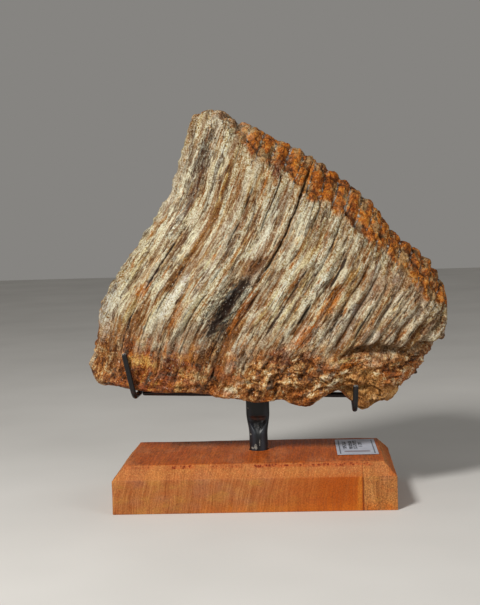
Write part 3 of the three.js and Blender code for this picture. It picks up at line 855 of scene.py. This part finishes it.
    # What the finish needs to know is kept with the mesh.
    hollow = (seam * 0.85 + gouges * 0.7).clipped() * (1 - low_down)
    hollow = hollow + (pits * 0.7 + runnels * 0.5 + folds * 0.7 + ledges * 0.8).clipped() * low_down
    # Painted shade: the valleys between ribs and the sunken line above the root, which the finish darkens to
    # brown.
    painted_shade = ((1 - wave) * ribbed * (1 - low_down) + sunk * 1.1).clipped()
    raised = (fibres * 2 + threads * 1.5 + steps * 0.8) * (1 - low_down) + rooty * 0.4 * low_down
    last = moved.outputs[0]
    known = {
        "grain": grain, "hollow": hollow * (1 - chewing), "painted_shade": painted_shade, "raised": raised,
        "low_down": low_down, "browned": tongues.rise(-0.1, 0.06, 1, 0), "chewing": chewing,
        "knob": knob, "enamel": enamel,
    }
    for name, value in known.items():
        store = tree.nodes.new("GeometryNodeStoreNamedAttribute")
        store.data_type, store.domain = "FLOAT_VECTOR" if name == "grain" else "FLOAT", "POINT"
        store.inputs["Name"].default_value = name
        tree.links.new(last, store.inputs["Geometry"])
        tree.links.new(value.socket, store.inputs["Value"])
        last = store.outputs[0]
    real = tree.nodes.new("GeometryNodeRealizeInstances")
    tree.links.new(last, real.inputs[0])
    dressed = tree.nodes.new("GeometryNodeSetMaterial")
    dressed.inputs["Material"].default_value = material
    tree.links.new(real.outputs[0], dressed.inputs["Geometry"])
    tree.links.new(dressed.outputs[0], tree.nodes.new("NodeGroupOutput").inputs["Geometry"])
    return tree


# Stains in front, a few of them partly painted highlights: place across and up, half width and half
# length in millimetres, colour and strength. A later one lies over an earlier one.
STAINS_AND_HIGHLIGHTS = [
    (0.349, 0.375, 11, 29, "1e1f1e", 0.97), (0.37, 0.25, 4, 15, "2e1c14", 0.85),
    (0.393, 0.38, 2.2, 22, "a85c14", 0.85), (0.338, 0.43, 2.4, 9, "626a6e", 0.7),
    (0.354, 0.33, 1.6, 5, "6e6a62", 0.6), (0.386, 0.72, 3, 36, "80491a", 0.6),
    (0.35, 0.36, 5, 20, "161716", 0.95), (0.383, 0.8, 1.6, 5, "351a0a", 0.7),
    (0.382, 0.66, 1.8, 4, "351a0a", 0.7), (0.23, 0.3, 2.4, 16, "a35e22", 0.6),
    (0.108, 0.36, 3.2, 9, "a05a14", 0.8), (0.103, 0.395, 1.2, 1.8, "2a1208", 0.9),
    (0.296, 0.916, 3.6, 9, "662010", 0.95), (0.214, 0.6, 3.0, 40, "704622", 0.85),
    (0.347, 0.6, 3.0, 20, "723e16", 0.65), (0.6, 0.5, 5.2, 26, "b0620c", 0.9),
    (0.59, 0.36, 4.5, 13, "a8580c", 0.85), (0.613, 0.69, 3.0, 9, "a8782c", 0.7),
    (0.7, 0.72, 2.6, 5, "96541e", 0.7), (0.502, 0.576, 2.2, 14, "aa9150", 0.6),
    (0.196, 0.37, 3.0, 20, "cfcdc6", 0.6), (0.677, 0.57, 3.6, 7, "6f767a", 0.6),
    (0.743, 0.803, 2.4, 5, "6b7178", 0.7), (0.827, 0.821, 2.2, 2.6, "54606c", 0.7),
    (0.047, 0.24, 4.5, 20, "b9b5a8", 0.6), (0.012, 0.82, 5, 42, "cbc4b0", 0.8),
    (0.08, 0.78, 6, 44, "3a2c26", 0.85), (0.074, 0.86, 3, 20, "281a14", 0.85),
    (0.126, 0.47, 1.9, 36, "3c3832", 0.6), (0.784, 0.45, 4.0, 11, "d6d0c0", 0.5),
    (0.65, 0.48, 2.8, 9, "4c2c18", 0.75), (0.29, 0.73, 1.5, 14, "75685a", 0.4),
    # (0.765, 0.245): amber patch, partly painted highlight on the root ledge at the right.
    (0.487, 0.42, 1.6, 22, "6a3c20", 0.6), (0.765, 0.245, 11, 6, "ab5e10", 0.85),
    # (0.723, 0.213): pale patch, partly painted highlight on the same ledge.
    (0.723, 0.213, 5, 4, "d2c6ac", 0.6), (0.571, 0.25, 9, 8, "5c2412", 0.75),
    # (0.334, 0.162): amber band, partly painted highlight where a raised ledge catches the light.
    (0.28, 0.129, 8, 7, "54240c", 0.75), (0.334, 0.162, 10, 4, "a46a20", 0.6),
    (0.009, 0.03, 3, 9, "cfc5aa", 0.7), (0.075, 0.13, 8, 13, "5c3618", 0.75),
    (0.02, 0.26, 4.2, 18, "bcbfb8", 0.8), (0.277, 0.135, 5, 6, "501c0a", 0.75),
    # (0.75, 0.3): pale streak, partly painted highlight on the root ledge at the right.
    (0.955, 0.34, 10, 12, "a0501a", 0.7), (0.75, 0.3, 8, 3, "b49c5c", 0.7),
    (0.66, 0.06, 12, 7, "a0581a", 0.7), (0.46, 0.03, 16, 5, "a05416", 0.6),
    (0.77, 0.77, 24, 15, "b0957a", 0.5),
]


def petrified(name):
    """Fossil ivory and cement: cream, tan and grey threads, ochre seams, rusty knobs, brown roots."""
    stone = Finish(name)
    grain = stone.told("grain", out=1)
    across, up = stone.told("across"), stone.told("up")
    raised, knob = stone.told("raised"), stone.told("knob")
    front = stone.place.parts()[1].rise(2, 8, 1, 0)
    speckle = stone.place.over(1.15, 1.15, 1.15).grain(2, 0.75)
    crumbs = stone.place.over(1.8, 1.8, 1.8, 14).grain(3, 0.75)
    mottle = stone.place.over(7, 7, 6, 12).grain(4, 0.7)

    def streaks(wide, long, shift, low, high, most=1):
        return grain.scaled(1 / wide, 0.6 / wide, 1 / long, shift).grain(4, 0.65).rise(low, high, 0, most)

    broad = grain.over(7, 14, 80, 21).grain(3, 0.6)
    thread = grain.over(1.7, 3, 20, 31).grain(4, 0.7)
    fleck = grain.over(1.1, 1.8, 3.6, 41).grain(3, 0.75)

    # The wall: cream cement, cooler and yellower in turns, with streaks of brown, ochre and grey.
    tone = (broad - 0.5) * 1.35 + (thread - 0.5) * 1.15 + (fleck - 0.5) * 0.3 + raised * 0.08 + 0.5
    colour = tone.shades(
        (0.12, paint("46230a")), (0.26, paint("774c24")), (0.36, paint("9e7c54")),
        (0.44, paint("b1a387")), (0.56, paint("bbb196")), (0.75, paint("c3bba4")), (0.95, paint("cbc4b3")))
    colour = colour.under(paint("b9b7a8"), streaks(5, 70, 61, 0.52, 0.58, 0.45))
    colour = colour.under(paint("bca766"), streaks(4.5, 50, 66, 0.55, 0.61, 0.35))
    colour = colour.under(paint("9a8068"), streaks(6, 60, 91, 0.54, 0.63, 0.35))
    colour = colour.under(paint("70491f"), streaks(4.4, 60, 51, 0.56, 0.6, 0.65) * mottle.rise(0.32, 0.5))
    colour = colour.under(paint("985a18"), streaks(3.6, 30, 56, 0.6, 0.64, 0.8) * mottle.rise(0.4, 0.55))
    colour = colour.under(paint("9c6420"), streaks(2.0, 24, 36, 0.57, 0.62, 0.6) * mottle.rise(0.4, 0.5))
    colour = colour.under(paint("868780"), streaks(2.4, 26, 26, 0.57, 0.63, 0.55) * mottle.rise(0.5, 0.4))
    colour = colour.under(paint("5e5850"), streaks(3, 40, 71, 0.6, 0.66, 0.5) * fleck.rise(0.3, 0.5))
    colour = colour.under(paint("8e4e26"), across.rise(0.5, 0.8, 0, 0.18))
    # Low places in the relief are darkened to brown, partly the brown matter in them and partly painted
    # shade.
    colour = colour.under(paint("623610"), raised.rise(-0.1, -1.7, 0, 0.72))
    browning = (up - 0.1 - across * 0.24).rise(0.24, -0.04, 0, 0.55)
    colour = colour.under(paint("704624"), browning * mottle.rise(0.3, 0.6, 0.4, 1))

    # The roots: brown to straw crust in blotches and strands, with rust, paler towards the left.
    low_down, browned, chewing = stone.told("low_down"), stone.told("browned"), stone.told("chewing")
    blotch = stone.place.over(13, 13, 9, 48).grain(3, 0.6)
    strands = grain.over(3.4, 5, 15, 85).grain(4, 0.7)
    crust = (blotch - 0.5) * 2.2 + (mottle - 0.5) * 1.7 + (strands - 0.5) * 2.2
    crust = crust + (crumbs - 0.5) * 0.4 + raised * 0.1 + 0.51
    calm = calm_corner(across, up)
    crust = crust * (1 - calm * 0.55) + calm * 0.31
    earthy = crust.shades(
        (0.06, paint("2e1404")), (0.24, paint("5e3008")), (0.4, paint("8c5018")),
        (0.56, paint("a8703a")), (0.74, paint("be9762")), (0.92, paint("d2c0a0")))
    rust = stone.place.over(14, 14, 9, 44).grain(3, 0.65).rise(0.48, 0.58, 0, 0.65)
    rust = rust * crumbs.rise(0.3, 0.6, 0.5, 1) * across.rise(0.06, 0.16, 0.3, 1)
    earthy = earthy.under(paint("9c4e10"), rust)
    earthy = earthy.under(paint("e4bd78"), across.rise(0.46, 0.26) * across.rise(0.05, 0.16), "MULTIPLY")
    earthy = earthy.under(paint("c89a58"), calm * 0.35)
    colour = colour.under(earthy, browned * 0.85)

    # The chewing surface: orange and ochre knobs, brown between them, grey where enamel stands.
    enamel = stone.told("enamel")
    scale = (mottle - 0.5) * 1.3 + (crumbs - 0.5) * 0.9 + (knob - 0.5) * 0.3 + 0.46
    rusty = scale.shades(
        (0.1, paint("542a0c")), (0.28, paint("8e4a10")), (0.44, paint("b46014")),
        (0.6, paint("c2761e")), (0.76, paint("bc935a")), (0.92, paint("c8b698")))
    rusty = rusty.under(paint("722c14"), knob.rise(0.6, 0.92, 0, 0.7) * mottle.rise(0.54, 0.6))
    rusty = rusty.under(paint("a3875f"), streaks(9, 20, 96, 0.5, 0.58, 0.75))
    rusty = rusty.under(paint("4a2a14"), knob.rise(0.2, -0.2, 0, 0.7))
    ashen = crumbs.shades((0.36, paint("35312e")), (0.5, paint("77716c")), (0.62, paint("aaa49a")))
    rusty = rusty.under(ashen, enamel.rise(0.2, 0.6) * speckle.rise(0.36, 0.5, 0.4, 0.95))
    rusty = rusty.under(paint("eef4f8"), 1, "MULTIPLY")
    rusty = rusty.under(colour, across.rise(0.26, 0.02, 0, 0.75))
    colour = colour.under(rusty, chewing * 0.95)

    # Single stains with frayed edges, a few of them partly painted highlights.
    frayed = (thread - 0.5) * 3 + (fleck - 0.5) * 3 + (mottle - 0.5) * 2.6
    flecked = fleck.rise(0.34, 0.54, 1, 0.55) * front
    for s, t, wide, tall, code, strength in STAINS_AND_HIGHLIGHTS:
        sideways, upwards = (across - s) * (WIDTH / wide), (up - t) * (HEIGHT / tall)
        edge = sideways * sideways + upwards * upwards + frayed
        colour = colour.under(paint(code), edge.rise(0.4, 1.3, strength, 0) * flecked)

    # Painted shade between ribs and along the sunken line, dirt and painted shade in seams, hollows and
    # clefts, and dark hairlines.
    colour = colour.under(paint("58340f"), stone.told("painted_shade").rise(0.2, 1, 0, 0.65))
    # Partly dirt, partly painted shade: seams, gouges, pits, runnels, folds and ledges are darkened to brown.
    hollow = stone.told("hollow").rise(0.2, 0.65, 0, 0.72) * fleck.rise(0.38, 0.6, 1, 0.5)
    colour = colour.under(paint("46260c"), hollow)
    cracks = hairlines(grain).rise(0.2, 0.7, 0, 0.92) * (1 - low_down) * fleck.rise(0.3, 0.6, 1, 0.6)
    colour = colour.under(paint("46280f"), cracks)
    # Clefts darkened nearly to black, partly dirt and partly painted shade in the cracks.
    marks = cleft_marks(grain, up, front)
    black = sum(opening.rise(0.25, 0.8) * darkness for opening, _, darkness in marks)
    colour = colour.under(paint("22130a"), black.clipped() * (1 - low_down * 0.4))

    # Light and dark crumbs, the light ones partly painted glints, and fine grit that dims more than it
    # brightens, with painted shade towards the crest.
    # Pale crumbs, partly real and partly painted glints.
    colour = colour.under(paint("dcd6c8"), crumbs.rise(0.62, 0.7, 0, 0.5) * (1 - chewing * 0.6))
    colour = colour.under(paint("4c2e14"), crumbs.rise(0.38, 0.3, 0, 0.55))
    swell = grain.over(10, 12, 45, 88).grain(3, 0.6) - 0.5
    grit_and_shade = (speckle - 0.5) * (browned * 1.9 - calm * 1.2 + 3.2) + (fleck - 0.5) * 1.1
    grit_and_shade = grit_and_shade + (crumbs - 0.5) * 0.7 + swell * 1.2
    # Painted shade: darker towards the crest and a little lighter lower down; the next line darkens the left
    # end low down.
    grit_and_shade = grit_and_shade.maths("MINIMUM", 0.42) + up.rise(0.6, 1, 0.08, -0.16)
    grit_and_shade = grit_and_shade - across.rise(0, 0.1, 0.22, 0) * up.rise(0.6, 0.4)
    dim = grit_and_shade.maths("MINIMUM", 0)
    grit_and_shade_tint = vector(grit_and_shade * 0.85 + 0.98, grit_and_shade + dim * 0.15 + 0.99, grit_and_shade + dim * 0.6 + 0.99)
    colour = colour.under(grit_and_shade_tint, 1, "MULTIPLY")
    roughness = crumbs.rise(0.3, 0.7, 0.5, 0.8)
    height = thread * 0.7 + fleck * 0.5 + speckle * 0.7 + crumbs * 0.5
    return stone.done(colour, roughness, height, 0.8 * MM, **{"Specular IOR Level": 0.15})


growth = molar.modifiers.new("plates", "NODES")
growth.node_group = grow_plates(petrified("fossil tooth"))
for socket in growth.node_group.interface.items_tree:
    if socket.in_out == "INPUT" and socket.name in PLATE_SIZES:
        growth[socket.identifier] = float(PLATE_SIZES[socket.name])
settled(molar)


def clear_of_wires(piece, paths, room, under):
    """Hollows the tooth where a wire lies against it: upwards where it is under, else inwards."""
    corners = np.array([v.co for v in piece.data.vertices])
    inward = np.stack([0 * under, np.sign(MIDDLE - corners[:, 1]) * (1 - under), under], 1)
    inward /= np.linalg.norm(inward, axis=1)[:, None] + 1e-9
    for path in paths:
        for start, end in zip(path, path[1:]):
            along_wire = end - start
            share = np.clip((corners - start) @ along_wire / (along_wire @ along_wire), 0, 1)
            away = corners - start - share[:, None] * along_wire
            near = np.linalg.norm(away, axis=1) < room
            lean = (away[near] * inward[near]).sum(1)
            gap = (away[near] ** 2).sum(1) - room ** 2
            corners[near] += (np.sqrt(np.maximum(lean ** 2 - gap, 0)) - lean)[:, None] * inward[near]
    corners = np.clip(corners, np.array(cad_box[0]) + 0.05 * MM, np.array(cad_box[1]) - 0.05 * MM)
    piece.data.vertices.foreach_set("co", corners.ravel())
    piece.data.update()


underside = (1 - ease(up, HEEL, 3 * HEEL)).ravel()
wire_paths = [bent(corners, 3 * MM) for corners in (BAR, LEFT_PRONG, RIGHT_PRONG)]
clear_of_wires(molar, wire_paths, WIRE + 0.25 * MM, underside)
molar.data.shade_smooth()
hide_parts("molar")
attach(molar, "root")


# The label: a small white paper sticker pressed down across the glue line. It is printed with
# a thin rule along each side, columns of broken grey strokes between them and a brownish bar.

LABEL_X, LABEL_Y, LABEL_TURN = 73.8 * MM, 6.6 * MM, 0.8
LABEL_WIDTH, LABEL_LENGTH = 29.6 * MM, 57 * MM
PAPER, LABEL_LIFT = 0.2 * MM, 0.06 * MM
# Columns of print in millimetres: place across the label, and where they start and end along it.
PRINT_COLUMNS = [(-8.5, -8, 21), (-4, -8, 21), (-0.7, -8, 23), (3.2, 0, 16)]


def paper_label(name, columns=30, rows=56):
    """A sheet of paper pressed down by hand: one corner and the ends have begun to lift."""
    mesh = bmesh.new()
    grids = []
    for layer in (0, PAPER):
        grid = []
        for j in range(rows + 1):
            for i in range(columns + 1):
                u, v = i / columns - 0.5, j / rows - 0.5
                curl = 0.1 * MM * ease(abs(v), 0.4, 0.5) + 0.12 * MM * ease(u + v, 0.85, 1)
                lift = LABEL_LIFT + curl + layer + 0.015 * MM * noise.noise(Vector((u * 9, v * 17, 1)))
                grid.append(mesh.verts.new((u * LABEL_WIDTH, v * LABEL_LENGTH, BLOCK_HEIGHT + lift)))
        grids.append(grid)
    wide = columns + 1
    for j in range(rows):
        for i in range(columns):
            a = j * wide + i
            corners = (a, a + 1, a + wide + 1, a + wide)
            mesh.faces.new([grids[1][k] for k in corners])
            mesh.faces.new([grids[0][k] for k in reversed(corners)])
    rim_walk = list(range(columns)) + [columns + j * wide for j in range(rows)]
    rim_walk += [rows * wide + i for i in range(columns, 0, -1)] + [j * wide for j in range(rows, 0, -1)]
    for a, b in zip(rim_walk, rim_walk[1:] + rim_walk[:1]):
        mesh.faces.new([grids[0][a], grids[0][b], grids[1][b], grids[1][a]])
    bmesh.ops.transform(mesh, matrix=Matrix.Rotation(math.radians(LABEL_TURN), 4, "Z"), verts=mesh.verts[:])
    bmesh.ops.translate(mesh, vec=(LABEL_X, LABEL_Y, 0), verts=mesh.verts[:])
    return kept(name, mesh)


def white_paper(name):
    sheet = Finish(name)
    x, y = sheet.place.parts()[:2]
    v = y - LABEL_Y / MM
    u = x - LABEL_X / MM + v * math.radians(LABEL_TURN)
    side, end = LABEL_WIDTH / 2 / MM, LABEL_LENGTH / 2 / MM
    fibre = sheet.place.over(0.5, 0.5, 1).grain(3, 0.7)
    stain = sheet.place.over(12, 12, 1).grain(2, 0.6)
    # The white paper is coloured blue-grey: painted shade and cool light on the top of the block.
    colour = (fibre * 0.5 + stain * 0.5).shades((0.3, paint("9a9eaa")), (0.6, paint("babec9")))
    edge_rules = (u.size() - side + 2.4).bell(0.45) * v.size().rise(end - 3.1, end - 2.7, 1, 0)
    colour = colour.under(paint("22242a"), edge_rules * 0.9)
    broken = sheet.place.over(1.1, 2.6, 1, 6).grain(2, 0.6).rise(0.4, 0.5)
    for column, low, high in PRINT_COLUMNS:
        half = (high - low) / 2
        along_column = (v - low - half).size().rise(half, half + 1, 1, 0)
        here = (u - column).size().rise(1.2, 1.5, 1, 0) * along_column
        colour = colour.under(paint("2c3038"), here * broken * 0.9)
    foot_rule = (v + 17).bell(2.2) * u.size().rise(8.5, 10, 1, 0)
    colour = colour.under(paint("5a3036"), foot_rule * 0.85)
    roughness = fibre.rise(0.3, 0.7, 0.5, 0.65)
    return sheet.done(colour, roughness, fibre, 0.03 * MM, **{"Specular IOR Level": 0.4})


label = paper_label("label_paper_sheet")
label.data.materials.append(white_paper("label paper"))
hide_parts("label")
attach(label, "root")


# The place for the photograph: a pale floor, a large soft light from the upper left in front,
# a weaker one from the right, and a camera a metre away, a little above the block.

def pale_ground(name):
    ground = Finish(name)
    cloud = ground.place.over(160, 160, 1).grain(2, 0.5)
    tooth = ground.place.over(1.5, 1.5, 1).grain(2, 0.6)
    colour = cloud.shades((0.3, paint("c9c7c3")), (0.7, paint("d2d0cc")))
    return ground.done(colour, tooth.rise(0.2, 0.8, 0.8, 0.95), tooth, 0.05 * MM)


def stage_floor(name, reach=3, cells=24):
    mesh = bmesh.new()
    bmesh.ops.create_grid(mesh, x_segments=cells, y_segments=cells, size=reach)
    return kept(name, mesh)


floor = stage_floor("floor")
floor.data.materials.append(pale_ground("pale floor"))


def soft_light(name, place, aim, width, watts, tint):
    lamp = bpy.data.lights.new(name, "AREA")
    lamp.shape, lamp.size, lamp.energy, lamp.color = "DISK", width, watts, tint
    holder = bpy.data.objects.new(name, lamp)
    bpy.context.scene.collection.objects.link(holder)
    holder.location = place
    holder.rotation_euler = (Vector(aim) - Vector(place)).to_track_quat("-Z", "Y").to_euler()


soft_light("key", (-0.55, -0.95, 1.0), (0, 0, 0.15), 0.3, 20, (1, 0.98, 0.95))
soft_light("fill", (1.0, -0.9, 0.5), (0, 0, 0.15), 0.8, 4, (0.95, 0.97, 1))

world = bpy.data.worlds.new("studio")
world.use_nodes = True
world.node_tree.nodes["Background"].inputs["Color"].default_value = paint("dad7d2")
world.node_tree.nodes["Background"].inputs["Strength"].default_value = 0.34
bpy.context.scene.world = world

PICTURE = 605  # height of the picture in pixels
SIGHT = 1250  # distance from eye to picture, in the same pixels
EYE = (41.5 * MM, -910 * MM, 214 * MM)
TILT, PAN, ROLL = math.radians(4.43), math.radians(3.15), math.radians(-1.75)

lens = bpy.data.cameras.new("camera")
lens.sensor_width = 36
lens.lens = SIGHT * lens.sensor_width / PICTURE
lens.clip_start, lens.clip_end = 0.01, 20
camera = bpy.data.objects.new("camera", lens)
ahead = Vector((-math.sin(PAN) * math.cos(TILT), math.cos(PAN) * math.cos(TILT), -math.sin(TILT)))
level = Vector((math.cos(PAN), math.sin(PAN), 0))
upright = level.cross(ahead)
right = math.cos(ROLL) * level + math.sin(ROLL) * upright
top = math.cos(ROLL) * upright - math.sin(ROLL) * level
camera.matrix_world = Matrix.Translation(EYE) @ Matrix((right, top, -ahead)).transposed().to_4x4()
bpy.context.scene.collection.objects.link(camera)
bpy.context.scene.camera = camera
bpy.context.scene.view_settings.view_transform = "Standard"
